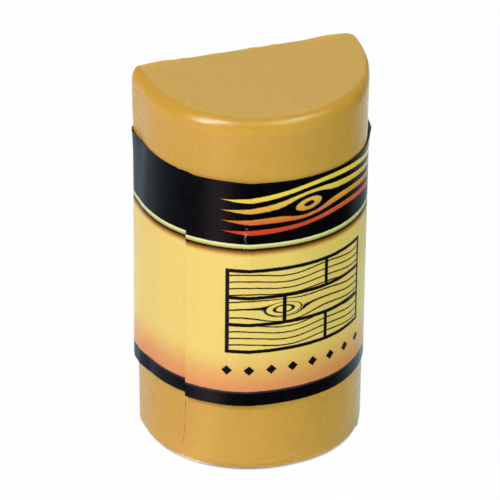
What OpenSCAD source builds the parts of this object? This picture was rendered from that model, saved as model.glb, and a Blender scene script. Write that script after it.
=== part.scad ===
// Furniture repair wax stick: a cast half-round bar of wax in a wrapped paper label.
// The bar stands on its base, with the curved face towards -Y and the flat back towards +Y.
// The origin is where the axis of the curved face meets the base.

/* [Wax bar] */
// Width of the bar across its straight sides
bar_w = 31; // [20:0.5:60]
// Height of the bar
bar_h = 54.4; // [40:0.2:120]
// Length of the straight sides, from the end of the curved face to the flat back
side_l = 6; // [3:0.5:20]
// Rounding of the upright edges between the sides and the flat back
back_round = 2; // [0.5:0.1:2.8]
// Rounding of the top edge along the curved face and the sides
top_round = 2; // [0.5:0.1:4]
// Rounding of the base edge along the curved face and the sides
base_round = 1.3; // [0.5:0.1:4]

/* [Label] */
// Height of the label at its over end
label_h = 34.8; // [10:0.2:38]
// Height of the label's lower edge above the base, at its over end
label_z = 11; // [2:0.2:15]
// Thickness of the label
label_t = 0.13; // [0.08:0.01:0.4]
// Room between the label and the wax
label_gap = 0.15; // [0.1:0.01:0.5]
// Rise of the lower edge along the strip, once round the bar
label_rise = 0.43; // [0:0.01:2]
// Angle from the middle of the curved face to the visible end of the label
seam_angle = 54; // [0:1:80]
// Length of label under the over end
lap_l = 9; // [5:0.5:14]
// Length in which the over end climbs onto the under end
climb_l = 3; // [1:0.5:6]

/* [Seam adhesive] */
// Thickness of the adhesive between the lapped ends
glue_t = 0.04; // [0.02:0.01:0.1]
// Margin between the adhesive and the edges of the lap
glue_margin = 1; // [0.5:0.1:2]

/* [Hidden] */
$fn = 96;

bar_r = bar_w / 2;
// Overrun of the cuts
overrun = 1;
// Steps along the curved face, along each rounded upright edge and along the climb
face_steps = 60;
edge_steps = 10;
climb_steps = 8;

// Stretches of the bar's outline, in the order that the label takes them from its over end
corner_x = bar_r - back_round;
corner_y = side_l - back_round;
face_l = PI * bar_r;
seam_left_l = bar_r * (90 - seam_angle) * PI / 180;
seam_right_l = face_l - seam_left_l;
edge_l = back_round * PI / 2;
right_side_end = seam_right_l + corner_y;
right_edge_end = right_side_end + edge_l;
back_end = right_edge_end + 2 * corner_x;
left_edge_end = back_end + edge_l;
left_side_end = left_edge_end + corner_y;
turn_l = left_side_end + seam_left_l;
strip_l = turn_l + lap_l;

// Angle at the bar's axis for a length along the curved face
function face_angle(s) = s / bar_r * 180 / PI;

// Angle round an upright edge for a length along it
function edge_angle(s) = s / back_round * 180 / PI;

// Outward direction of the outline at a length along the label
function facing(s) =
    s < seam_right_l ? face_angle(s) - 90 - seam_angle
    : s < right_side_end ? 0
    : s < right_edge_end ? edge_angle(s - right_side_end)
    : s < back_end ? 90
    : s < left_edge_end ? 90 + edge_angle(s - back_end)
    : s < left_side_end ? 180
    : 180 + face_angle(s - left_side_end);

// Centre that the outline turns about, or the inner end of the wall's normal, at a length along the label
function pivot(s) =
    s < seam_right_l ? [0, 0]
    : s < right_side_end ? [0, s - seam_right_l]
    : s < right_edge_end ? [corner_x, corner_y]
    : s < back_end ? [corner_x - (s - right_edge_end), corner_y]
    : s < left_edge_end ? [-corner_x, corner_y]
    : s < left_side_end ? [0, corner_y - (s - left_edge_end)]
    : [0, 0];

// Distance from that centre to the wax
function reach(s) =
    s < right_side_end ? bar_r
    : s < left_edge_end ? back_round
    : bar_r;

// Point at a length along the label and a distance out from the wax
function place(s, out) = pivot(s) + (reach(s) + out) * [cos(facing(s)), sin(facing(s))];

// Smooth step from 0 to 1
function ease(u) = let (c = min(1, max(0, u))) c * c * (3 - 2 * c);

// Distance of the label's inner face from the wax: the over end lies on the under end
function inner_out(s) = label_gap + (label_t + glue_t) * (1 - ease((s - lap_l) / climb_l));

// Lower edge of the label
function lower_z(s) = label_z + label_rise * s / turn_l;

// Lengths along the label at which a ring of points stands
function steps_for(length) = max(1, round(face_steps * length / face_l));
function spread(from, to, steps) = [for (i = [0 : steps - 1]) from + (to - from) * i / steps];
climb_end = lap_l + climb_l;
glue_end = lap_l - glue_margin;
glue_stops = concat(spread(glue_margin, glue_end, steps_for(glue_end - glue_margin)), [glue_end]);
lap_stops = concat([0], glue_stops);
label_stops = concat(
    lap_stops,
    spread(lap_l, climb_end, climb_steps),
    spread(climb_end, seam_right_l, steps_for(seam_right_l - climb_end)),
    [seam_right_l],
    spread(right_side_end, right_edge_end, edge_steps),
    [right_edge_end],
    spread(back_end, left_edge_end, edge_steps),
    [left_edge_end],
    spread(left_side_end, turn_l, steps_for(seam_left_l)),
    [for (s = lap_stops) turn_l + s],
    [strip_l]
);

// Strip swept along its stops: each ring has its inner, lower point first and goes round its section
module strip(rings) {
    corners = 4;
    last = len(rings) - 1;
    points = [for (ring = rings) each ring];
    sides = [
        for (i = [0 : last - 1], k = [0 : corners - 1])
            let (a = i * corners, b = a + corners, n = (k + 1) % corners)
            each [[a + k, b + n, b + k], [a + k, a + n, b + n]]
    ];
    end = [for (f = [[0, 1, 2], [0, 2, 3]]) [for (k = f) last * corners + k]];
    start = [[2, 1, 0], [3, 2, 0]];
    polyhedron(points = points, faces = concat(start, sides, end));
}

// Section of a strip at a length along it
function section(s, inner, outer, low, high) =
    let (p = place(s, inner), q = place(s, outer))
    [[p.x, p.y, low], [q.x, q.y, low], [q.x, q.y, high], [p.x, p.y, high]];

// Half of the bar's elevation, with its rounded base and top edges
module half_elevation() {
    difference() {
        square([bar_r, bar_h]);
        translate([bar_r - base_round, 0])
            difference() {
                translate([0, -overrun])
                    square([base_round + overrun, base_round + overrun]);
                translate([0, base_round])
                    circle(r = base_round);
            }
        translate([bar_r - top_round, bar_h - top_round])
            difference() {
                square([top_round + overrun, top_round + overrun]);
                circle(r = top_round);
            }
    }
}

// Upright cutter that rounds one edge between a side and the back
module back_edge_cutter() {
    difference() {
        translate([corner_x, corner_y, -overrun])
            cube([back_round + overrun, back_round + overrun, bar_h + 2 * overrun]);
        translate([corner_x, corner_y, -2 * overrun])
            cylinder(r = back_round, h = bar_h + 4 * overrun);
    }
}

module wax_bar() {
    color([0.83, 0.64, 0.31])
        difference() {
            union() {
                rotate([0, 0, 180])
                    rotate_extrude(angle = 180)
                        half_elevation();
                translate([0, side_l, 0])
                    rotate([90, 0, 0])
                        linear_extrude(side_l) {
                            half_elevation();
                            mirror([1, 0])
                                half_elevation();
                        }
            }
            back_edge_cutter();
            mirror([1, 0, 0])
                back_edge_cutter();
        }
}

module label_wrap() {
    color([0.95, 0.84, 0.45])
        strip([
            for (s = label_stops)
                section(s, inner_out(s), inner_out(s) + label_t, lower_z(s), label_z + label_h)
        ]);
}

module seam_adhesive() {
    inner = label_gap + label_t;
    color([0.90, 0.88, 0.80])
        strip([
            for (s = glue_stops)
                section(s, inner, inner + glue_t, lower_z(s + turn_l) + glue_margin,
                    label_z + label_h - glue_margin)
        ]);
}

wax_bar();
label_wrap();
seam_adhesive();
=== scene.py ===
import math
import bpy
import numpy as np
from mathutils import Matrix, Vector


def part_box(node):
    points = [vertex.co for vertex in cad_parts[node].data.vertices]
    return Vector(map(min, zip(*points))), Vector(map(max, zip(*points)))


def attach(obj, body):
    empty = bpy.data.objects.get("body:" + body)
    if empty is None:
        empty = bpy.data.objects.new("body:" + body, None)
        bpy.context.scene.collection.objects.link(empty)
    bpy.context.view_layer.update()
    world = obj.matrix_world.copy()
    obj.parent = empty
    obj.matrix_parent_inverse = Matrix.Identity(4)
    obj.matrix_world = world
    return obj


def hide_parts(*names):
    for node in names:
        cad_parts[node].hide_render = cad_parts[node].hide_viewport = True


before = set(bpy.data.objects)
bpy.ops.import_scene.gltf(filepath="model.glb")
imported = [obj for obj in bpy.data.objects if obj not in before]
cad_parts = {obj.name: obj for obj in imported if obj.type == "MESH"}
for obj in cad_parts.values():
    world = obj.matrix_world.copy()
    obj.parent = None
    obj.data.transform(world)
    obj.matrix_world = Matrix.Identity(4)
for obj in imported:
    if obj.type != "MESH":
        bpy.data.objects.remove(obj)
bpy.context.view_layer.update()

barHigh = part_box("wax_bar")[1]
labelLow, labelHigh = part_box("label_wrap")
mm = 0.001
scene = bpy.context.scene
scene.view_settings.view_transform = "Standard"


def inMm(*values):
    return tuple(value * mm for value in values)


# outline shared by the wax and the label, seen from above
outline = {
    "radius": barHigh.x,  # curved face
    "back": barHigh.y,  # flat back, measured from the axis of the curved face
    "edge": 2.0 * mm,  # upright edges beside the flat back
    "seamAngle": 54.0,  # from the middle of the curved face to the seam, degrees
}


def outlineStretches():
    # the stretches of the outline, anticlockwise from the seam: length, first and last facing in degrees,
    # first and last share of the pivot across and back, and 1 where the reach is the edge radius
    radius, edge = outline["radius"], outline["edge"]
    seamLeft = math.radians(90.0 - outline["seamAngle"]) * radius
    side = outline["back"] - edge
    quarter = math.pi / 2.0 * edge
    start = -90.0 - outline["seamAngle"]
    return np.array([
        (math.pi * radius - seamLeft, start, 0.0, 0, 0, 0, 0, 0),  # curved face, right of the seam
        (side, 0.0, 0.0, 0, 0, 0, 1, 0),  # right side
        (quarter, 0.0, 90.0, 1, 1, 1, 1, 1),  # right edge
        (2.0 * (radius - edge), 90.0, 90.0, 1, -1, 1, 1, 1),  # flat back
        (quarter, 90.0, 180.0, -1, -1, 1, 1, 1),  # left edge
        (side, 180.0, 180.0, 0, 0, 1, 0, 0),  # left side
        (seamLeft, 180.0, 360.0 + start, 0, 0, 0, 0, 0),  # curved face, left of the seam
    ]).T


stretches = outlineStretches()
stretchEnds = np.cumsum(stretches[0])
turnLength = stretchEnds[-1]  # once round the bar


def outlineAt(length):
    # where each length along the outline falls: its facing angle, its pivot's shares and its kind of reach
    place = np.mod(length, turnLength)
    which = np.minimum(np.searchsorted(stretchEnds, place, side="right"), len(stretchEnds) - 1)
    span, facing0, facing1, across0, across1, back0, back1, onEdge = stretches[:, which]
    share = (place - (stretchEnds[which] - span)) / span
    return {
        "facing": np.radians(facing0 + share * (facing1 - facing0)),
        "across": across0 + share * (across1 - across0),
        "back": back0 + share * (back1 - back0),
        "onEdge": onEdge,
    }


def outlinePoint(columns, radius, edge, back):
    # point = pivot + reach * facing; the pivot slides along the straight stretches, and the reach is
    # the radius of the curved face or, at the back and its edges, the edge radius
    reach = radius + (edge - radius) * columns["onEdge"]
    x = columns["across"] * (radius - edge) + reach * np.cos(columns["facing"])
    y = columns["back"] * (back - edge) + reach * np.sin(columns["facing"])
    return x, y


def smoothStep(value, low, high):
    share = np.clip((value - low) / (high - low), 0.0, 1.0)
    return share * share * (3.0 - 2.0 * share)


def hump(value, middle, width):
    # bell curve: e to the minus square of the distance over the width
    return np.exp(-(((value - middle) / width) ** 2))


def unevenness(across, up, cellsAcross, cellsUp, seed):
    # seeded values from -1 to 1 on a lattice that closes on itself across, blended by smooth steps;
    # across and up run from 0 to 1
    values = np.random.default_rng(seed).uniform(-1.0, 1.0, (cellsUp + 2, cellsAcross))
    gridU = np.mod(across, 1.0) * cellsAcross
    gridV = np.clip(up, 0.0, 1.0) * cellsUp
    column, row = np.floor(gridU).astype(int), np.floor(gridV).astype(int)
    blendU, blendV = smoothStep(gridU - column, 0.0, 1.0), smoothStep(gridV - row, 0.0, 1.0)
    left, right = column % cellsAcross, (column + 1) % cellsAcross
    low = values[row, left] * (1.0 - blendU) + values[row, right] * blendU
    high = values[row + 1, left] * (1.0 - blendU) + values[row + 1, right] * blendU
    return low * (1.0 - blendV) + high * blendV


def gridFaces(rows, columns):
    # quads between neighbouring rows of a grid whose last column joins its first
    first = np.arange(columns)
    second = (first + 1) % columns
    base = np.arange(rows - 1)[:, None] * columns
    quads = [base + first, base + second, base + columns + second, base + columns + first]
    return np.stack(quads, axis=-1).reshape(-1, 4)


def newPiece(name, points, faces, sharpAngle):
    mesh = bpy.data.meshes.new(name)
    mesh.from_pydata(points.tolist(), [], faces)
    mesh.polygons.foreach_set("use_smooth", np.ones(len(mesh.polygons), bool))
    mesh.set_sharp_from_angle(angle=math.radians(sharpAngle))
    mesh.update()
    piece = bpy.data.objects.new(name, mesh)
    scene.collection.objects.link(piece)
    return piece


def addMask(piece, name, values):
    mask = piece.data.attributes.new(name, "FLOAT", "POINT")
    mask.data.foreach_set("value", np.ascontiguousarray(values, np.float32).ravel())


# camera at the photograph's viewing angle
cameraSetting = {
    "azimuth": -20.14,
    "elevation": 29.6,
    "roll": 0.72,
    "distance": 593.1 * mm,
    "lens": 310.35,
    "sensor": 36.0,
    "aimAcross": -0.23 * mm,
    "aimHeight": 26.52 * mm,
}


def addCamera(setting):
    azimuth, elevation = math.radians(setting["azimuth"]), math.radians(setting["elevation"])
    level = math.cos(elevation)
    back = Vector((math.sin(azimuth) * level, -math.cos(azimuth) * level, math.sin(elevation)))
    right = Vector((math.cos(azimuth), math.sin(azimuth), 0.0))
    aim = right * setting["aimAcross"] + Vector((0, 0, setting["aimHeight"]))
    turn = Matrix((right, back.cross(right), back)).transposed().to_4x4()
    roll = Matrix.Rotation(math.radians(setting["roll"]), 4, "Z")
    data = bpy.data.cameras.new("studioCamera")
    data.lens, data.sensor_width = setting["lens"], setting["sensor"]
    camera = bpy.data.objects.new("studioCamera", data)
    camera.matrix_world = Matrix.Translation(aim + back * setting["distance"]) @ turn @ roll
    scene.collection.objects.link(camera)
    scene.camera = camera


addCamera(cameraSetting)
print("camera set")


# node helpers
def addNode(tree, kind, inputs=None, **settings):
    node = tree.nodes.new(kind)
    for name, value in settings.items():
        setattr(node, name, value)
    for name, value in (inputs or {}).items():
        if isinstance(value, bpy.types.NodeSocket):
            tree.links.new(value, node.inputs[name])
        else:
            node.inputs[name].default_value = value
    return node


def calc(tree, operation, *values):
    return addNode(tree, "ShaderNodeMath", dict(enumerate(values)), operation=operation).outputs[0]


def product(tree, value, *others):
    for other in others:
        value = calc(tree, "MULTIPLY", value, other)
    return value


def minus(tree, value, amount):
    return calc(tree, "SUBTRACT", value, amount)


def ramp(tree, value, low, high, first=0.0, last=1.0):
    # smooth step of a value between two limits
    inputs = {"Value": value, "From Min": low, "From Max": high, "To Min": first, "To Max": last}
    return addNode(tree, "ShaderNodeMapRange", inputs, interpolation_type="SMOOTHSTEP").outputs[0]


def between(tree, value, low, high, soft):
    # 1 between two limits, with soft ends
    rise = ramp(tree, value, low - soft, low + soft)
    fall = ramp(tree, value, high - soft, high + soft, 1.0, 0.0)
    return product(tree, rise, fall)


def blendColour(tree, factor, first, second, blend="MIX"):
    inputs = {0: factor, 6: first, 7: second}  # sockets 6 and 7 take the colours
    return addNode(tree, "ShaderNodeMix", inputs, data_type="RGBA", blend_type=blend).outputs[2]


def objectPlace(tree):
    return addNode(tree, "ShaderNodeTexCoord").outputs["Object"]


def noiseValue(tree, place, scale, detail):
    inputs = {"Vector": place, "Scale": scale, "Detail": detail}
    return addNode(tree, "ShaderNodeTexNoise", inputs).outputs["Fac"]


def maskValue(tree, name):
    return addNode(tree, "ShaderNodeAttribute", attribute_name=name).outputs["Fac"]


def shade(red, green, blue):
    # a colour written in screen values from 0 to 255, as the linear values that sockets take
    screen = np.array((red, green, blue)) / 255.0
    linear = np.where(screen <= 0.04045, screen / 12.92, ((screen + 0.055) / 1.055) ** 2.4)
    return (*linear.tolist(), 1.0)


def newMaterial(name):
    material = bpy.data.materials.new(name)
    material.use_nodes = True
    tree = material.node_tree
    return material, tree, tree.nodes["Principled BSDF"]


def newGroup(name, inputs, outputs):
    tree = bpy.data.node_groups.new(name, "ShaderNodeTree")
    for title, value in inputs.items():
        socket = tree.interface.new_socket(title, in_out="INPUT", socket_type="NodeSocketFloat")
        socket.default_value = value
    for title in outputs:
        tree.interface.new_socket(title, in_out="OUTPUT", socket_type="NodeSocketFloat")
    return tree, tree.nodes.new("NodeGroupInput").outputs, tree.nodes.new("NodeGroupOutput").inputs


# surface effects that the materials share
surfaceNoise = {
    "mottle": {"Patch Scale": 120.0, "Patch Strength": 0.1, "Speckle Scale": 900.0, "Speckle Strength": 0.1},
    "mottleDetail": 2.0,
    "patchLimits": (0.35, 0.65),  # of the noise, from one tone to the other
    "grain": {"Scale": 2500.0, "Least Roughness": 0.3, "Most Roughness": 0.5},
    "grainDetail": 1.0,
    "grainLimits": (0.3, 0.7),  # of the noise, from the least to the most roughness
}


def addMottleGroup(spec):
    # soft patches and fine speckle: two sizes of noise on object coordinates, as a tone around 1
    tree, given, made = newGroup("softMottle", spec["mottle"], ["Tone", "Patch"])
    place = objectPlace(tree)
    tone = 1.0
    for size in ("Patch", "Speckle"):
        value = noiseValue(tree, place, given[size + " Scale"], spec["mottleDetail"])
        tone = calc(tree, "ADD", tone, product(tree, minus(tree, value, 0.5), given[size + " Strength"]))
        if size == "Patch":
            tree.links.new(value, made["Patch"])
    tree.links.new(tone, made["Tone"])
    return tree


def addGrainGroup(spec):
    # fine surface grain: one noise on object coordinates, as a height and as a roughness
    tree, given, made = newGroup("fineGrain", spec["grain"], ["Height", "Roughness"])
    grain = noiseValue(tree, objectPlace(tree), given["Scale"], spec["grainDetail"])
    tree.links.new(grain, made["Height"])
    low, high = spec["grainLimits"]
    inputs = {"Value": grain, "From Min": low, "From Max": high}
    inputs |= {"To Min": given["Least Roughness"], "To Max": given["Most Roughness"]}
    tree.links.new(addNode(tree, "ShaderNodeMapRange", inputs).outputs[0], made["Roughness"])
    return tree


mottleGroup = addMottleGroup(surfaceNoise)
grainGroup = addGrainGroup(surfaceNoise)


def useMottle(tree, *values):
    # patch scale and strength, speckle scale and strength; gives the tone and a mask of the patches
    node = addNode(tree, "ShaderNodeGroup", node_tree=mottleGroup)
    for name, value in zip(surfaceNoise["mottle"], values):
        node.inputs[name].default_value = value
    return node.outputs["Tone"], ramp(tree, node.outputs["Patch"], *surfaceNoise["patchLimits"])


def useGrain(tree, shader, scale, roughness, bumpDistance, bumpStrength):
    node = addNode(tree, "ShaderNodeGroup", node_tree=grainGroup)
    for name, value in zip(surfaceNoise["grain"], (scale, *roughness)):
        node.inputs[name].default_value = value
    tree.links.new(node.outputs["Roughness"], shader.inputs["Roughness"])
    bump = {"Height": node.outputs["Height"], "Distance": bumpDistance, "Strength": bumpStrength}
    tree.links.new(addNode(tree, "ShaderNodeBump", bump).outputs[0], shader.inputs["Normal"])


# wax bar; places along the outline are lengths from the seam, tilts are radians up from the side
waxBar = {
    "columnStep": 0.25 * mm,
    "sideRows": 120,
    "capRows": (10, 42),  # of the base and of the top
    "roundRows": (9, 13),  # of their rounded edges
    "baseShares": (0.04, 0.97),
    "capCrowding": 1.3,  # brings the rows of the top closer to its edge
    "poleShare": 0.3,  # place of the poles in depth, as a share of the back less the radius
    "sharpAngle": 40.0,
    "baseRoundAt": inMm(0, 9, 16, 22, 27, 32, 80, 86, 90),
    "baseRounds": inMm(1.45, 1.85, 2.0, 1.5, 1.2, 1.2, 1.45, 1.4, 1.45),
    "topRoundAt": inMm(24, 32, 37, 46, 73, 76, 80, 84),
    "topRounds": inMm(2.0, 1.2, 0.5, 0.3, 1.2, 1.4, 1.8, 2.0),
    "edgeHeights": inMm(0, 10, 40, 46, 49, 54.4),
    "edgeRadii": inMm(4.5, 4.0, 2.6, 1.4, 1.0, 1.0),  # the back edges sharpen upwards
    "leastEdge": 0.1 * mm,
    "flashAt": inMm(42.8, 75),  # the right back corner of the top stands out, the left one is drawn in
    "flashWidth": inMm(5.5, 3),
    "flash": inMm(1.1, -0.1),
    "flashDepth": 9.0 * mm,
    "waviness": 0.02 * mm,
    "waves": ((1.0, (9, 5, 11)), (0.6, (17, 11, 12))),  # share, then cells across, cells up and seed
    "capCells": (16, 16, 13),
    "capSpread": 4.0,  # width of those cells' field, in radii of the bar
    "topRim": (1.0, 0.97),  # shares of the outline between which the side's waves give way
    "lumps": 0.008 * mm,
    "lumpCells": (70, 44, 14),
    "lumpLength": 30.2 * mm,  # one lump on the rounding at the right
    "lumpTilt": 1.15,
    "lumpRise": 0.16 * mm,
    "lumpWidth": 0.45 * mm,
    "lumpTurn": 0.3,
    "scoreSpan": inMm(-0.9, 0.5),  # close columns about the score line
    "scoreColumns": 36,
    "scoreClear": inMm(0.6, 1.0),  # kept free of the even columns, right and left of the seam
    "scoreOffset": -0.24 * mm,  # the score line starts just left of the seam
    "scoreLean": 0.015,  # leans left on its way down
    "scoreShift": 0.24 * mm,  # and shifts left half way
    "scoreShiftAt": 4.3 * mm,
    "scoreShiftSpan": 0.5 * mm,
    "scoreDepth": 0.10 * mm,
    "scoreWidth": 0.10 * mm,
    "scoreTop": 10.2 * mm,
    "scoreBottom": 2.6 * mm,
    "scoreFade": inMm(0.6, 0.8),  # at its lower and at its upper end
    "scoreBreaks": 0.4,
    "breakCells": (9, 90, 15),
    "scoreMark": 0.9,
    "scoreSpecks": inMm(4.8, 2.6),  # dark places along it
    "scoreSpeckWidth": 0.3 * mm,
    "scoreSpeckGain": 0.6,
    "upright": 0.01,  # tilt up to which the surface counts as the side
    "lipLevel": 0.07 * mm,  # flash along the back top edge, with a few higher places
    "lipAt": inMm(-11.2, -8.4, -3.6, 1.7, 4.8, 12.9),
    "lipHeight": inMm(0.21, 0.08, 0.05, 0.09, 0.06, 0.26),
    "lipWidth": inMm(1.9, 0.6, 0.8, 0.8, 0.5, 2.2),
    "lipDepth": 0.5 * mm,
    "lipFade": 0.8 * mm,
    "burrLength": 29.7 * mm,
    "burrHeight": 0.9 * mm,
    "burrRise": 0.14 * mm,
    "burrWidth": 0.4 * mm,
    "footRest": 0.8 * mm,  # height in which the unevenness starts, so that the base stays flat
    "deepTone": shade(210, 167, 71),
    "paleTone": shade(212, 170, 78),
    # painted sheen: the top is made paler and bluer, standing in for the sky's reflection on it
    "topSheenTone": shade(204, 176, 93),
    "topTilt": (1.1, 1.5),
    # painted shade: the rounding is made darker and more saturated, cancelling the key lamp's extra light and
    # the sky's reflection there
    "roundShadeTone": shade(187, 147, 34),
    "roundRise": 0.7,
    "roundFall": 0.3,
    "paintedToneShare": 0.6,  # of the painted top sheen and the painted rounding shade, against the wax's tone
    "plainFrom": inMm(27, 34),  # the painted shade of the rounding stops along the back
    "plainTo": inMm(76, 72),
    "scoreTone": shade(164, 98, 18),
    "speckTone": shade(134, 94, 40),
    "speckCell": 2.2 * mm,
    "speckSize": 0.09 * mm,
    "speckCore": 0.6,  # share of a speck that is full dark
    "speckKept": (0.5, 0.6),  # chances between which specks start to show
    "mottle": (1300.0, 0.02, 5200.0, 0.10),
    "grain": (2600.0, (0.24, 0.28), 0.01 * mm, 0.02),
    "subsurface": 0.25,
    "subsurfaceRadius": (1.0, 0.45, 0.15),
    "subsurfaceScale": 1.2 * mm,
    "specular": 0.12,
}


def waxRows(spec, length):
    # the profile from the middle of the base, round the base edge, up the side, round the top edge and
    # in to the middle of the top: height, inset of the outline, share of the outline and tilt of the surface
    low = np.interp(length, spec["baseRoundAt"], spec["baseRounds"])
    high = np.interp(length, spec["topRoundAt"], spec["topRounds"])
    height, quarter = barHigh.z, math.pi / 2.0
    baseRows, topRows = spec["capRows"]
    lowRows, highRows = spec["roundRows"]
    capLow = np.linspace(*spec["baseShares"], baseRows)[:, None]
    lowTurn = np.linspace(-quarter, 0.0, lowRows)[:, None]
    sideShare = np.linspace(0.0, 1.0, spec["sideRows"])[1:-1, None]
    highTurn = np.linspace(0.0, quarter, highRows)[:, None]
    capHigh = 1.0 - np.linspace(0.0, 1.0, topRows)[1:-1, None] ** spec["capCrowding"]
    blocks = (
        (0.0, low, capLow, -quarter),
        (low * (1.0 + np.sin(lowTurn)), low * (1.0 - np.cos(lowTurn)), 1.0, lowTurn),
        (low + (height - high - low) * sideShare, 0.0, 1.0, 0.0),
        (height - high * (1.0 - np.sin(highTurn)), high * (1.0 - np.cos(highTurn)), 1.0, highTurn),
        (height, high, capHigh, quarter),
    )
    blank = np.zeros_like(length)
    rows = [np.stack(np.broadcast_arrays(*(part + blank for part in block))) for block in blocks]
    return np.concatenate(rows, axis=1)


def scoreLine(spec, length, z):
    # bell curve across a line that leans left on its way down and shifts left half way
    fromSeam = np.mod(length + turnLength / 2.0, turnLength) - turnLength / 2.0
    shiftAt, span = spec["scoreShiftAt"], spec["scoreShiftSpan"]
    at = spec["scoreOffset"] - spec["scoreLean"] * (spec["scoreTop"] - z)
    at = at - spec["scoreShift"] * smoothStep(z, shiftAt + span, shiftAt - span)
    fadeLow, fadeHigh = spec["scoreFade"]
    shown = smoothStep(z, spec["scoreBottom"], spec["scoreBottom"] + fadeLow)
    shown = shown * smoothStep(z, spec["scoreTop"], spec["scoreTop"] - fadeHigh)
    return hump(fromSeam, at, spec["scoreWidth"]) * shown


def backLip(spec, x, y, z):
    # low flash with a few higher places, falling off away from the back edge of the top
    lip = spec["lipLevel"]
    for at, rise, width in zip(spec["lipAt"], spec["lipHeight"], spec["lipWidth"]):
        lip = lip + rise * hump(x, at, width)
    inwards, downwards = (outline["back"] - y) / spec["lipDepth"], (barHigh.z - z) / spec["lipFade"]
    return lip * np.exp(-inwards) * np.exp(-downwards)


def addWaxMasks(piece, spec, length, z, tilt, onTop, score):
    # masks for the finish, among them the painted top sheen and the painted rounding shade; the two values at
    # the end of each belong to the poles of the base and the top
    quarter = math.pi / 2.0
    # painted shade along the rounded top edge, strongest at mid tilt and left out along the back
    rounded = smoothStep(tilt, 0.0, spec["roundRise"])
    rounded = rounded * smoothStep(tilt, quarter, quarter - spec["roundFall"])
    plain = smoothStep(length, *spec["plainFrom"]) * smoothStep(length, *spec["plainTo"])
    addMask(piece, "roundShadeMask", np.append(rounded * (1.0 - plain), (0.0, 0.0)))
    specks = sum(hump(z, at, spec["scoreSpeckWidth"]) for at in spec["scoreSpecks"])
    marked = np.clip(score * (spec["scoreMark"] + spec["scoreSpeckGain"] * specks), 0.0, 1.0)
    addMask(piece, "scoreMark", np.append(marked, (0.0, 0.0)))
    # painted sheen: the top face, and the rounding from topTilt on, take the paler top tone
    topSheenShare = np.maximum(onTop, smoothStep(tilt, *spec["topTilt"]))
    addMask(piece, "topSheenMask", np.append(topSheenShare, (0.0, 1.0)))


def addWaxBar(spec):
    # surface of two parameters, length round the outline and row of the profile, then moved along its own
    # facing by slow waves, lumps, a score line and a burr, and lifted by flash at the back
    near = np.linspace(*spec["scoreSpan"], spec["scoreColumns"])
    even = np.arange(0.0, turnLength, spec["columnStep"])
    clearRight, clearLeft = spec["scoreClear"]
    even = even[(even > clearRight) & (even < turnLength - clearLeft)]
    length = np.sort(np.concatenate([np.mod(near, turnLength), even]))
    columns = outlineAt(length)
    z, inset, share, tilt = waxRows(spec, length)
    edge = np.maximum(np.interp(z, spec["edgeHeights"], spec["edgeRadii"]) - inset, spec["leastEdge"])
    x, y = outlinePoint(columns, outline["radius"] - inset, edge, outline["back"])
    middle = spec["poleShare"] * (outline["back"] - outline["radius"])
    x, y = x * share, middle + (y - middle) * share
    rise = smoothStep(z, barHigh.z - spec["flashDepth"], barHigh.z) * share ** 2
    for at, width, amount in zip(spec["flashAt"], spec["flashWidth"], spec["flash"]):
        x = x + amount * hump(length, at, width) * rise
    # waves and lumps, on the side by length and height and on the top by place
    across, up = length / turnLength + 0.0 * x, z / barHigh.z
    sideWaves = sum(part * unevenness(across, up, *cells) for part, cells in spec["waves"])
    field = spec["capSpread"] * outline["radius"]
    capWaves = unevenness(x / field + 0.5, y / field + 0.5, *spec["capCells"])
    onTop = smoothStep(share, *spec["topRim"]) * (tilt > 0)
    push = spec["waviness"] * (sideWaves * (1.0 - onTop) + capWaves * onTop)
    push += spec["lumps"] * unevenness(across, up, *spec["lumpCells"]) * (1.0 - onTop)
    broken = 1.0 - spec["scoreBreaks"] * (1.0 - unevenness(across, up, *spec["breakCells"]))
    score = scoreLine(spec, length, z) * broken * (tilt < spec["upright"])
    push -= spec["scoreDepth"] * score
    burr = hump(length, spec["burrLength"], spec["burrWidth"])
    burr = burr * hump(z, spec["burrHeight"], spec["burrWidth"])
    lump = hump(length, spec["lumpLength"], spec["lumpWidth"])
    lump = lump * hump(tilt, spec["lumpTilt"], spec["lumpTurn"])
    push += (spec["burrRise"] * burr + spec["lumpRise"] * lump) * (share == 1.0)
    push *= smoothStep(z, 0.0, spec["footRest"])
    lip = backLip(spec, x, y, z)
    facing = columns["facing"]
    x = x + push * np.cos(tilt) * np.cos(facing)
    y = y + push * np.cos(tilt) * np.sin(facing)
    z = z + push * np.sin(tilt) + lip
    # the base and the top close on a pole each
    rows, count = x.shape
    points = np.stack([x, y, z], axis=-1).reshape(-1, 3)
    poles = np.array([(0.0, middle, 0.0), (0.0, middle, z[-1].mean())])
    first, second = np.arange(count), (np.arange(count) + 1) % count
    last = (rows - 1) * count
    baseFan = np.stack([np.full(count, rows * count), second, first], axis=-1)
    topFan = np.stack([last + first, last + second, np.full(count, rows * count + 1)], axis=-1)
    faces = gridFaces(rows, count).tolist() + baseFan.tolist() + topFan.tolist()
    piece = newPiece("waxBar", np.concatenate([points, poles]), faces, spec["sharpAngle"])
    addWaxMasks(piece, spec, length, z, tilt, onTop, score)
    return piece


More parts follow.
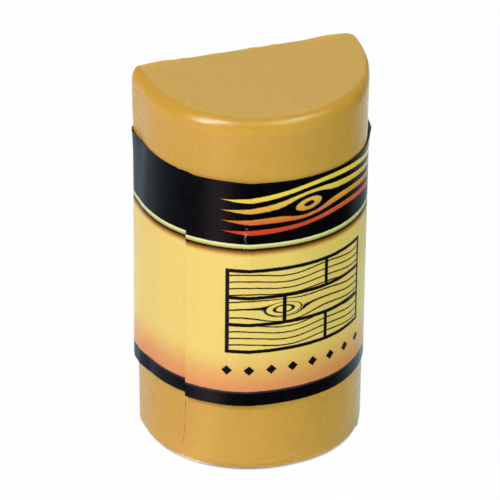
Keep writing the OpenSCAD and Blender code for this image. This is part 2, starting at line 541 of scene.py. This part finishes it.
def waxFinish(spec):
    material, tree, shader = newMaterial("honeyWax")
    tone, patch = useMottle(tree, *spec["mottle"])
    colour = blendColour(tree, patch, spec["deepTone"], spec["paleTone"])
    # painted sheen on the top and painted shade on the rounded top edge, mixed into the wax tone
    for mask, wanted in (("topSheenMask", "topSheenTone"), ("roundShadeMask", "roundShadeTone")):
        share = product(tree, maskValue(tree, mask), spec["paintedToneShare"])
        colour = blendColour(tree, share, colour, spec[wanted])
    # sparse dark specks: points scattered in the wax, half of them left out
    cells = {"Vector": objectPlace(tree), "Scale": 1.0 / spec["speckCell"]}
    points = addNode(tree, "ShaderNodeTexVoronoi", cells).outputs
    size = spec["speckSize"] / spec["speckCell"]
    specks = ramp(tree, points["Distance"], spec["speckCore"] * size, size, 1.0, 0.0)
    chance = addNode(tree, "ShaderNodeSeparateColor", {0: points["Color"]}).outputs[0]
    specks = product(tree, specks, ramp(tree, chance, *spec["speckKept"]))
    colour = blendColour(tree, specks, colour, spec["speckTone"])
    colour = blendColour(tree, maskValue(tree, "scoreMark"), colour, spec["scoreTone"])
    colour = blendColour(tree, 1.0, colour, tone, "MULTIPLY")
    tree.links.new(colour, shader.inputs["Base Color"])
    useGrain(tree, shader, *spec["grain"])
    shader.inputs["Subsurface Weight"].default_value = spec["subsurface"]
    shader.inputs["Subsurface Radius"].default_value = spec["subsurfaceRadius"]
    shader.inputs["Subsurface Scale"].default_value = spec["subsurfaceScale"]
    shader.inputs["Specular IOR Level"].default_value = spec["specular"]
    return material


waxPiece = addWaxBar(waxBar)
waxPiece.data.materials.append(waxFinish(waxBar))
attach(waxPiece, "bar")
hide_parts("wax_bar")
print("wax bar made:", len(waxPiece.data.polygons), "faces")


# label wrap and seam adhesive; lengths along the strip start at the seam, with the over end
labelWrap = {
    "bottom": labelLow.z,
    "top": labelHigh.z,
    "thickness": 0.13 * mm,
    "gap": 0.06 * mm,
    "rise": 0.43 * mm,  # of the lower edge, once round the bar
    "lap": 9.0 * mm,
    "climb": 1.6 * mm,  # in which the over end comes down to the wax
    "ridge": 0.2 * mm,  # the hidden end springs up under it, most at the top
    "ridgePower": 4,
    "edgeRadii": inMm(3.2, 2.0),  # of the back edges, at the lower and at the upper edge
    "glue": 0.04 * mm,
    "glueMargin": 1.0 * mm,
    "glueStations": 30,
    "glueRows": 20,
    "stations": 420,
    "rows": 44,
    "sharpAngle": 50.0,
    "endLift": 0.04 * mm,
    "endReach": 0.6 * mm,
    "cockle": 0.012 * mm,
    "cockleLevel": 0.6,
    "cockleCells": (14, 4, 21),
    "cockleClear": inMm(6, 4),  # in which it starts after the lap and ends before the seam
    "flareFrom": inMm(34.2, 72.9),  # the upper edge stands off at the right and at the left
    "flareRise": inMm(0.6, 3.6),
    "flareTo": inMm(38.0, 76.5),
    "flareFall": inMm(4.0, 3.6),
    "flare": inMm(0.40, 0.25),
    "flareDepth": 2.2 * mm,
    "bulge": 0.52 * mm,  # the loose lower corner at the left
    "bulgeFrom": inMm(83.2, 79.4),  # its rise
    "bulgeTo": inMm(73.8, 77.4),  # and its fall
    # heights of the upper and the lower edge against straight ones
    "upperAt": inMm(0, 6, 10, 20, 26, 30, 33, 34.2, 34.7, 39, 75, 82, 88.2, 88.55, 88.9, 90, 92),
    "upperLift": inMm(-0.16, -0.13, -0.2, -0.26, -0.5, -0.8, -1.0, -1.05, -0.7, -0.7, 0, 0.08,
                      -0.04, -0.18, -0.06, -0.08, -0.45),
    "lowerAt": inMm(0, 6, 10, 14, 18, 22, 30, 40, 75, 88),
    "lowerLift": inMm(-0.05, -0.04, 0.05, 0.22, 0.2, 0.06, 0.1, 0, 0.05, 0.05),
}
stripLength = turnLength + labelWrap["lap"]
labelHeight = labelWrap["top"] - labelWrap["bottom"]


def lowerEdge(spec, length):
    # straight rise along the strip
    return spec["bottom"] + spec["rise"] * length / turnLength


def overLift(spec, length):
    # 1 where the over end lies on the under end, falling off beyond the lap
    return np.exp(-np.maximum(length - spec["lap"], 0.0) / spec["climb"])


def addStrip(name, length, inner, outer, low, high, edgeRadii, rows):
    # a strip carried along the outline: its section goes up the outer face and down the inner one
    share = np.linspace(0.0, 1.0, rows)
    z = low[:, None] + (high - low)[:, None] * share
    edge = edgeRadii[0] + (edgeRadii[1] - edgeRadii[0]) * share
    columns = {key: value[:, None] for key, value in outlineAt(length).items()}
    sides = []
    for away in (outer + 0.0 * z, inner + 0.0 * z):
        grow = outline["radius"] + away, edge + away, outline["back"] + away
        sides.append(np.stack([*outlinePoint(columns, *grow), z], axis=-1))
    points = np.concatenate([sides[0], sides[1][:, ::-1]], axis=1)
    stations, around = points.shape[:2]
    station = np.arange(stations - 1)[:, None] * around
    first = np.arange(around)
    second = (first + 1) % around
    quads = [station + first, station + around + first, station + around + second, station + second]
    faces = np.stack(quads, axis=-1).reshape(-1, 4)
    outerRow = np.arange(rows - 1)
    innerRow = around - 1 - outerRow
    start = np.stack([outerRow, outerRow + 1, innerRow - 1, innerRow], axis=-1)
    end = np.stack([innerRow, innerRow - 1, outerRow + 1, outerRow], axis=-1) + (stations - 1) * around
    allFaces = np.concatenate([faces, start, end])
    piece = newPiece(name, points.reshape(-1, 3), allFaces.tolist(), labelWrap["sharpAngle"])
    # the inner face takes the second material
    inside = np.zeros((stations - 1, around), int)
    inside[:, rows:around - 1] = 1
    kind = np.concatenate([inside.ravel(), np.zeros(2 * (rows - 1), int)])
    piece.data.polygons.foreach_set("material_index", kind)
    along = length[:, None] + 0.0 * points[..., 0]
    return piece, along, points[..., 2]


def addPrintMap(piece, along, up):
    # map of the print: share of the strip's length, and share of the label's height above its lower edge
    corner = np.zeros(len(piece.data.loops), int)
    piece.data.loops.foreach_get("vertex_index", corner)
    layer = piece.data.uv_layers.new(name="printMap")
    places = np.stack([along.ravel()[corner], up.ravel()[corner]], axis=-1)
    layer.data.foreach_set("uv", places.astype(np.float32).ravel())


def labelFlares(spec, along, fromTop):
    # each flare rises and falls along the strip and dies away below the upper edge
    parts = ("flareFrom", "flareRise", "flareTo", "flareFall", "flare")
    total = 0.0
    for start, rise, end, fall, flare in zip(*(spec[part] for part in parts)):
        stands = smoothStep(along, start, start + rise) * smoothStep(along, end + fall, end)
        total = total + flare * stands * np.exp(-fromTop / spec["flareDepth"])
    return total


def labelAway(spec, along, share, fromTop):
    # distance of the inner face from the wax: the gap, the lap with its ridge, and the places that stand off
    over = overLift(spec, along) * (along < turnLength / 2.0)
    ridge = spec["ridge"] * np.minimum(along / spec["lap"], 1.0) ** spec["ridgePower"] * share
    away = spec["gap"] + (spec["thickness"] + spec["glue"] + ridge) * over
    away = away + spec["endLift"] * np.exp(-along / spec["endReach"])
    afterLap, beforeSeam = spec["cockleClear"]
    free = smoothStep(along, spec["lap"], spec["lap"] + afterLap)
    free = free * smoothStep(along, turnLength, turnLength - beforeSeam)
    waves = spec["cockleLevel"] + unevenness(along / stripLength, share, *spec["cockleCells"])
    away = away + spec["cockle"] * free * waves + labelFlares(spec, along, fromTop)
    bulge = smoothStep(along, *spec["bulgeFrom"]) * smoothStep(along, *spec["bulgeTo"])
    return away + spec["bulge"] * bulge * (1.0 - share)


def addLabel(spec):
    length = np.linspace(0.0, stripLength, spec["stations"])
    lowerLift = np.interp(length, spec["lowerAt"], spec["lowerLift"])
    low = lowerEdge(spec, length) + lowerLift
    high = spec["top"] + np.interp(length, spec["upperAt"], spec["upperLift"])
    share = np.linspace(0.0, 1.0, spec["rows"])
    fromTop = (high - low)[:, None] * (1.0 - share)
    away = labelAway(spec, length[:, None], share, fromTop)
    faces = away, away + spec["thickness"]
    piece, along, z = addStrip("labelWrap", length, *faces, low, high, spec["edgeRadii"], spec["rows"])
    # the print follows the lower edge at the bottom and runs level at the top
    up = z - lowerEdge(spec, along)
    up = up - lowerLift[:, None] * (1.0 - up / labelHeight)
    addPrintMap(piece, along / stripLength, up / labelHeight)
    return piece


def addAdhesive(spec):
    margin, stations = spec["glueMargin"], spec["glueStations"]
    length = np.linspace(margin, spec["lap"] - margin, stations)
    inner = np.full((stations, 1), spec["gap"] + spec["thickness"])
    outer = inner + spec["glue"]
    low = lowerEdge(spec, length + turnLength) + margin
    high = np.full_like(length, spec["top"] - margin)
    edgeRadii = (outline["edge"], outline["edge"])
    return addStrip("seamAdhesive", length, inner, outer, low, high, edgeRadii, spec["glueRows"])[0]


# printed artwork of the label, in millimetres: across from the seam, up from the lower edge
printWork = {
    "soft": 0.05,
    "ragged": 0.12,  # unevenness of the printed edges
    "raggedScale": 1800.0,
    "raggedDetail": 2.0,
    "border": 2.27,
    "borderEdge": 0.5,
    "edgeInk": shade(66, 60, 74),
    "blackTones": (shade(4, 5, 6), shade(10, 9, 12)),
    "lineTop": 25.33,
    "lineWidth": 0.65,
    "lineTones": (shade(190, 187, 78), shade(246, 250, 184)),
    "shadowDepth": 1.1,  # dark shadow below the line
    "shadowCore": 0.15,
    "shadowTone": shade(34, 20, 8),
    "glowDepth": 1.45,  # orange edge of that shadow
    "glowCore": 0.6,
    "glowTone": shade(222, 156, 64),
    "fieldTone": shade(242, 220, 118),
    "fadeTone": shade(231, 156, 96),
    "fadeHeight": 6.8,
    "fadeOverlap": 0.2,
    "inkTone": shade(20, 19, 17),
    "plankLeft": 6.0,
    "plankRight": 27.0,
    "plankBottom": 8.6,
    "plankTop": 21.2,
    "plankRows": 3,
    "plankLine": 0.55,
    "plankLength": 14.0,
    "plankShift": 6.3,  # of the joints in every second row
    "plankKnot": (13.6, 14.9, 1.1, 2.4),  # across, up, radius and stretch
    "knotEdge": (1.05, 1.15),
    "grainWave": (0.55, 0.28),  # radians a millimetre, and height
    "grainLines": (1.05, 0.11),  # step and half thickness
    "ringLines": (0.55, 0.1),
    "chipHeight": 5.6,
    "chipSize": 0.75,
    "chipStep": 3.0,
    "chipMargin": 0.9,
    "waveMiddle": 30.2,
    "waveStep": 1.5,
    "waveReach": 2.9,
    "waveThickness": 0.36,
    "waveTip": 0.1,  # how far the lines thin out past nothing at their ends
    "waveTaper": 7.0,
    "waveLeft": 3.0,
    "waveRight": 40.0,
    "waveDrift": (0.21, 0.7),  # radians a millimetre, and height
    "knotAcross": 17.0,
    "knotRadius": 1.25,
    "knotStretch": 2.2,
    "ringRadius": 0.62,
    "ringThickness": 0.26,
    "warmTones": (shade(216, 72, 40), shade(246, 226, 92)),
    "warmReach": (-3.2, 3.0),
    "scuffAcross": (8.2, 8.6),  # pale wear along the crease over the hidden end
    "scuffUp": (22.6, 28.4),
    "scuffSoft": (0.2, 1.0),
    "scuffScale": 2600.0,
    "scuffDetail": 2.0,
    "scuffShare": (0.5, 0.64),
    "scuffStrength": 0.3,
    "scuffTone": shade(226, 214, 186),
    "mottle": (1500.0, 0.05, 5600.0, 0.20),
    "grain": (5200.0, (0.20, 0.27), 0.02 * mm, 0.2),
    "specular": 0.065,
    "specularTint": (1.0, 0.76, 0.84, 1.0),
}


def aroundKnot(tree, across, up, middleAcross, middleUp, radius, stretch):
    # grain lines that part round a knot: up * (1 - radius squared / distance squared), as water parts round
    # a post; inside the knot the distance itself
    offAcross = calc(tree, "DIVIDE", minus(tree, across, middleAcross), stretch)
    offUp = minus(tree, up, middleUp)
    square = calc(tree, "ADD", product(tree, offAcross, offAcross), product(tree, offUp, offUp))
    near = calc(tree, "DIVIDE", radius * radius, calc(tree, "MAXIMUM", square, radius * radius))
    return product(tree, offUp, minus(tree, 1.0, near)), calc(tree, "SQRT", square)


def sineWave(tree, value, turn, height):
    return product(tree, calc(tree, "SINE", product(tree, value, turn)), height)


def strokes(tree, value, step, thickness, soft):
    # lines at even steps of a value
    nearest = calc(tree, "PINGPONG", value, step / 2.0)
    return ramp(tree, minus(tree, nearest, thickness), -soft, soft, 1.0, 0.0)


def plankArt(tree, work, across, up):
    # rows of planks with shifted joints, grain that parts round a knot, and a frame
    soft, half = work["soft"], work["plankLine"] / 2.0
    left, right, bottom, top = (work["plank" + side] for side in ("Left", "Right", "Bottom", "Top"))

    def inside(margin):
        level = between(tree, across, left - margin, right + margin, soft)
        return product(tree, level, between(tree, up, bottom - margin, top + margin, soft))

    rowHeight = (top - bottom) / work["plankRows"]
    fromBottom = minus(tree, up, bottom)
    seams = strokes(tree, fromBottom, rowHeight, half, soft)
    row = calc(tree, "FLOOR", calc(tree, "DIVIDE", fromBottom, rowHeight))
    shift = product(tree, calc(tree, "MODULO", row, 2.0), work["plankShift"])
    fromLeft = calc(tree, "ADD", minus(tree, across, left), shift)
    joints = strokes(tree, fromLeft, work["plankLength"], half, soft)
    grainUp, knotDistance = aroundKnot(tree, across, up, *work["plankKnot"])
    grainUp = calc(tree, "ADD", grainUp, sineWave(tree, across, *work["grainWave"]))
    grain = strokes(tree, grainUp, *work["grainLines"], soft)
    rings = strokes(tree, knotDistance, *work["ringLines"], soft)
    inKnot = ramp(tree, knotDistance, *work["knotEdge"], 1.0, 0.0)
    outKnot = minus(tree, 1.0, inKnot)
    grain = calc(tree, "ADD", product(tree, grain, outKnot), product(tree, rings, inKnot))
    lines = calc(tree, "MAXIMUM", calc(tree, "MAXIMUM", seams, joints), grain)
    frameLine = minus(tree, inside(half), inside(-half))
    return calc(tree, "MAXIMUM", product(tree, lines, inside(0.0)), frameLine)


def chipArt(tree, work, across, up):
    # a row of small diamonds below the planks
    soft, size, margin = work["soft"], work["chipSize"], work["chipMargin"]
    offAcross = calc(tree, "PINGPONG", minus(tree, across, work["plankLeft"]), work["chipStep"] / 2.0)
    offUp = calc(tree, "ABSOLUTE", minus(tree, up, work["chipHeight"]))
    chips = ramp(tree, calc(tree, "ADD", offAcross, offUp), size - soft, size + soft, 1.0, 0.0)
    kept = between(tree, across, work["plankLeft"] - margin, work["plankRight"] + margin, soft)
    return product(tree, chips, kept)


def waveArt(tree, work, across, up):
    # grain waves of the band, which part round a knot and thin out at both ends
    soft, taper, tip = work["soft"], work["waveTaper"], work["waveTip"]
    left, right, reach = work["waveLeft"], work["waveRight"], work["waveReach"]
    drifted = calc(tree, "ADD", up, sineWave(tree, across, *work["waveDrift"]))
    knot = work["knotAcross"], work["waveMiddle"], work["knotRadius"], work["knotStretch"]
    waveUp, knotDistance = aroundKnot(tree, across, drifted, *knot)
    rise = ramp(tree, across, left, left + taper)
    ends = product(tree, rise, ramp(tree, across, right - taper, right, 1.0, 0.0))
    thickness = minus(tree, product(tree, ends, work["waveThickness"] + tip), tip)
    shifted = calc(tree, "ADD", waveUp, work["waveStep"] / 2.0)
    waves = strokes(tree, shifted, work["waveStep"], thickness, soft)
    kept = ramp(tree, calc(tree, "ABSOLUTE", waveUp), reach - soft, reach + soft, 1.0, 0.0)
    fromRing = calc(tree, "ABSOLUTE", minus(tree, knotDistance, work["ringRadius"]))
    ring = ramp(tree, fromRing, work["ringThickness"] - soft, work["ringThickness"] + soft, 1.0, 0.0)
    return calc(tree, "MAXIMUM", product(tree, waves, kept), ring)


def printFinish(work):
    material, tree, shader = newMaterial("printedLabel")
    soft = work["soft"]
    tone, patch = useMottle(tree, *work["mottle"])
    spread = addNode(tree, "ShaderNodeUVMap", uv_map="printMap").outputs[0]
    parts = addNode(tree, "ShaderNodeSeparateXYZ", {0: spread}).outputs
    across = product(tree, parts["X"], stripLength / mm)
    place = objectPlace(tree)
    ragged = minus(tree, noiseValue(tree, place, work["raggedScale"], work["raggedDetail"]), 0.5)
    up = calc(tree, "ADD", product(tree, parts["Y"], labelHeight / mm), product(tree, ragged, work["ragged"]))
    # yellow field that turns orange towards the border, with the planks and the diamonds
    border = work["border"]
    fade = ramp(tree, up, border - work["fadeOverlap"], border + work["fadeHeight"], 1.0, 0.0)
    colour = blendColour(tree, fade, work["fieldTone"], work["fadeTone"])
    ink = calc(tree, "MAXIMUM", plankArt(tree, work, across, up), chipArt(tree, work, across, up))
    colour = blendColour(tree, ink, colour, work["inkTone"])
    # brown shadow below the pale line
    lineTop, lineBottom = work["lineTop"], work["lineTop"] - work["lineWidth"]
    for name in ("glow", "shadow"):
        share = ramp(tree, up, lineBottom - work[name + "Depth"], lineBottom - work[name + "Core"])
        colour = blendColour(tree, share, colour, work[name + "Tone"])
    pale = blendColour(tree, ramp(tree, up, lineBottom, lineTop), *work["lineTones"])
    colour = blendColour(tree, between(tree, up, lineBottom, lineTop, soft), colour, pale)
    # black band with warm grain waves
    black = blendColour(tree, patch, *work["blackTones"])
    band = ramp(tree, up, lineTop - soft, lineTop + soft)
    low, high = (work["waveMiddle"] + reach for reach in work["warmReach"])
    warm = blendColour(tree, ramp(tree, up, low, high), *work["warmTones"])
    motif = product(tree, waveArt(tree, work, across, up), band)
    colour = blendColour(tree, band, colour, blendColour(tree, motif, black, warm))
    # black border with a blue-grey upper edge
    inBorder = ramp(tree, up, border - soft, border + soft, 1.0, 0.0)
    edge = ramp(tree, up, border - work["borderEdge"], border)
    colour = blendColour(tree, inBorder, colour, blendColour(tree, edge, black, work["edgeInk"]))
    # worn flecks where the paper bends over the hidden end
    softAcross, softUp = work["scuffSoft"]
    flecks = noiseValue(tree, place, work["scuffScale"], work["scuffDetail"])
    worn = product(tree, between(tree, across, *work["scuffAcross"], softAcross),
                   between(tree, up, *work["scuffUp"], softUp),
                   ramp(tree, flecks, *work["scuffShare"], 0.0, work["scuffStrength"]))
    colour = blendColour(tree, worn, colour, work["scuffTone"])
    colour = blendColour(tree, 1.0, colour, tone, "MULTIPLY")
    tree.links.new(colour, shader.inputs["Base Color"])
    useGrain(tree, shader, *work["grain"])
    shader.inputs["Specular IOR Level"].default_value = work["specular"]
    shader.inputs["Specular Tint"].default_value = work["specularTint"]
    return material


# bare back of the label, and the glue
paperBack = {
    "name": "barePaper",
    "tones": (shade(222, 212, 188), shade(240, 234, 216)),
    "mottle": (200.0, 0.1, 1500.0, 0.1),
    "grain": (4200.0, (0.6, 0.75), 0.03 * mm, 0.3),
    "specular": 0.3,
}
glueFilm = {
    "name": "clearGlue",
    "tones": (shade(214, 206, 176), shade(232, 226, 206)),
    "mottle": (260.0, 0.1, 1200.0, 0.1),
    "grain": (1800.0, (0.2, 0.35), 0.02 * mm, 0.4),
    "specular": 0.5,
}


def patchyFinish(spec):
    material, tree, shader = newMaterial(spec["name"])
    patch = useMottle(tree, *spec["mottle"])[1]
    tree.links.new(blendColour(tree, patch, *spec["tones"]), shader.inputs["Base Color"])
    useGrain(tree, shader, *spec["grain"])
    shader.inputs["Specular IOR Level"].default_value = spec["specular"]
    return material


labelPiece = addLabel(labelWrap)
labelPiece.data.materials.append(printFinish(printWork))
labelPiece.data.materials.append(patchyFinish(paperBack))
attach(labelPiece, "sleeve")
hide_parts("label_wrap")
print("label wrap made:", len(labelPiece.data.polygons), "faces")

gluePiece = addAdhesive(labelWrap)
glueFinish = patchyFinish(glueFilm)
gluePiece.data.materials.append(glueFinish)
gluePiece.data.materials.append(glueFinish)
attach(gluePiece, "sleeve")
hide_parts("seam_adhesive")
print("seam adhesive made:", len(gluePiece.data.polygons), "faces")


# studio
studio = {
    "floorHalf": 3.0,
    "floorTone": (0.80, 0.80, 0.79, 1.0),
    "white": (1.0, 1.0, 1.0, 1.0),
    "glow": 0.98,  # share of the floor that shows plain white to the camera
    "contact": 0.25 * mm,  # reach of the dark line where the object meets the floor
    "sheenTone": (0.69, 0.90, 1.0, 1.0),  # of the floor and the backdrop in reflections
    "sheenReach": inMm(40, 75),  # the floor's reflection weakens away from the object
    "sheenFar": 0.45,
    "sheenSides": inMm(-15, 20),  # and from the right back to the left front
    "sheenLeft": 1.05,
    "sheenRight": 1.15,
    "sheenFront": inMm(-28, -12),  # and is nearly gone in front of the object
    "sheenSlope": 0.2,
    "sheenLeast": 0.12,
    "cornerReach": inMm(66, 92),  # but grows again far out at the right back
    "cornerGain": 0.4,
    "behindReach": inMm(12, 75),  # and behind the object
    "behindGain": 0.5,
    "streakTone": (1.0, 0.84, 0.80, 1.0),  # bright wedge of the floor, left of the front
    "streakGain": 3.4,
    "streakRise": (-161.0, -142.0),  # degrees round the object
    "streakFall": (-140.0, -126.0),
    "skySheen": 0.35,
    "ambientStrength": 0.02,
    # lamps light the colours; panels show in reflections alone: direction, distance, size, power and colour
    "lamps": (
        ("keyLamp", (-0.542, -0.187, 0.819), 1.2, (0.32, 0.32), 14.5, (0.90, 0.80, 1.00)),
        ("leftLamp", (-0.731, -0.571, 0.375), 1.2, (0.90, 0.90), 0.70, (1.00, 0.98, 1.00)),
        ("frontLamp", (0.280, -0.862, 0.423), 1.2, (0.90, 0.90), 5.60, (0.89, 1.00, 0.74)),
        ("rightLamp", (0.830, -0.420, 0.370), 1.2, (0.90, 0.90), 0.60, (0.80, 1.00, 0.60)),
        ("backLamp", (0.050, 0.990, 0.120), 1.2, (0.90, 0.90), 3.50, (1.00, 1.00, 1.00)),
    ),
    "panels": (
        ("keyPanel", (-0.600, -0.155, 0.785), 0.6, (0.14, 0.46), 12.6, (0.72, 0.95, 1.0)),
        ("topPanel", (0.330, -0.220, 0.920), 0.6, (0.34, 0.24), 5.0, (0.55, 1.0, 0.95)),
    ),
}


def emission(tree, tone, strength):
    return addNode(tree, "ShaderNodeEmission", {"Color": tone, "Strength": strength}).outputs[0]


def mixShaders(tree, share, first, second):
    return addNode(tree, "ShaderNodeMixShader", {0: share, 1: first, 2: second}).outputs[0]


def floorSheen(tree, setting, openness):
    # cool white in reflections: least in front of the object, most near it and towards the right back
    place = objectPlace(tree)
    parts = addNode(tree, "ShaderNodeSeparateXYZ", {0: place}).outputs
    distance = addNode(tree, "ShaderNodeVectorMath", {0: place}, operation="LENGTH").outputs["Value"]
    bright = ramp(tree, distance, *setting["sheenReach"], 1.0, setting["sheenFar"])
    corner = product(tree, calc(tree, "ADD", parts["X"], parts["Y"]), math.sqrt(0.5))
    side = ramp(tree, corner, *setting["sheenSides"], setting["sheenLeft"], setting["sheenRight"])
    depth = minus(tree, parts["Y"], product(tree, parts["X"], setting["sheenSlope"]))
    gain = calc(tree, "ADD", ramp(tree, corner, *setting["cornerReach"], 0.0, setting["cornerGain"]),
                ramp(tree, depth, *setting["behindReach"], 0.0, setting["behindGain"]))
    bright = calc(tree, "MULTIPLY_ADD", bright, side, gain)
    front = ramp(tree, depth, *setting["sheenFront"], setting["sheenLeast"], 1.0)
    bright = product(tree, bright, front, openness)
    cool = emission(tree, setting["sheenTone"], bright)
    # and one bright wedge that gives the upright streak
    angle = calc(tree, "DEGREES", calc(tree, "ARCTAN2", parts["Y"], parts["X"]))
    rise = ramp(tree, angle, *setting["streakRise"])
    wedge = product(tree, rise, ramp(tree, angle, *setting["streakFall"], setting["streakGain"], 0.0))
    streak = emission(tree, setting["streakTone"], wedge)
    return addNode(tree, "ShaderNodeAddShader", {0: cool, 1: streak}).outputs[0]


def addFloor(setting):
    half = setting["floorHalf"]
    corners = [(-half, -half, 0), (half, -half, 0), (half, half, 0), (-half, half, 0)]
    mesh = bpy.data.meshes.new("studioFloor")
    mesh.from_pydata(corners, [], [(0, 1, 2, 3)])
    floor = bpy.data.objects.new("studioFloor", mesh)
    scene.collection.objects.link(floor)
    material = bpy.data.materials.new("paleFloor")
    material.use_nodes = True
    tree = material.node_tree
    tree.nodes.clear()
    rays = addNode(tree, "ShaderNodeLightPath").outputs
    surface = addNode(tree, "ShaderNodeBsdfDiffuse", {"Color": setting["floorTone"]}).outputs[0]
    # plain white for the camera, but for the dark line along the object's foot
    openness = addNode(tree, "ShaderNodeAmbientOcclusion", {"Distance": setting["contact"]}).outputs["AO"]
    seen = calc(tree, "MAXIMUM", rays["Is Camera Ray"], rays["Is Transmission Ray"])
    seen = product(tree, seen, openness, setting["glow"])
    surface = mixShaders(tree, seen, surface, emission(tree, setting["white"], 1.0))
    surface = mixShaders(tree, rays["Is Glossy Ray"], surface, floorSheen(tree, setting, openness))
    addNode(tree, "ShaderNodeOutputMaterial", {"Surface": surface})
    mesh.materials.append(material)


def addWorld(setting):
    world = bpy.data.worlds.new("studioWorld")
    scene.world = world
    world.use_nodes = True
    tree = world.node_tree
    tree.nodes.clear()
    rays = addNode(tree, "ShaderNodeLightPath").outputs
    seen = calc(tree, "MAXIMUM", rays["Is Camera Ray"], rays["Is Transmission Ray"])
    ambient = {"Color": setting["white"], "Strength": setting["ambientStrength"]}
    surface = addNode(tree, "ShaderNodeBackground", ambient).outputs[0]
    mirrored = rays["Is Glossy Ray"], setting["sheenTone"], setting["skySheen"]
    for share, tone, strength in (mirrored, (seen, setting["white"], 1.0)):
        backdrop = addNode(tree, "ShaderNodeBackground", {"Color": tone, "Strength": strength}).outputs[0]
        surface = mixShaders(tree, share, surface, backdrop)
    addNode(tree, "ShaderNodeOutputWorld", {"Surface": surface})


def addLamp(name, towards, distance, size, power, colour, inReflections):
    data = bpy.data.lights.new(name, "AREA")
    data.shape, data.energy, data.color = "RECTANGLE", power, colour
    data.size, data.size_y = size
    lamp = bpy.data.objects.new(name, data)
    direction = Vector(towards).normalized()
    lamp.location = direction * distance + Vector((0, 0, barHigh.z / 2))
    lamp.rotation_mode = "QUATERNION"
    lamp.rotation_quaternion = direction.to_track_quat("Z", "Y")
    lamp.visible_glossy = inReflections
    lamp.visible_diffuse = not inReflections
    scene.collection.objects.link(lamp)


addFloor(studio)
addWorld(studio)
for lampSetting in studio["lamps"]:
    addLamp(*lampSetting, False)
for panelSetting in studio["panels"]:
    addLamp(*panelSetting, True)
print("studio lit")
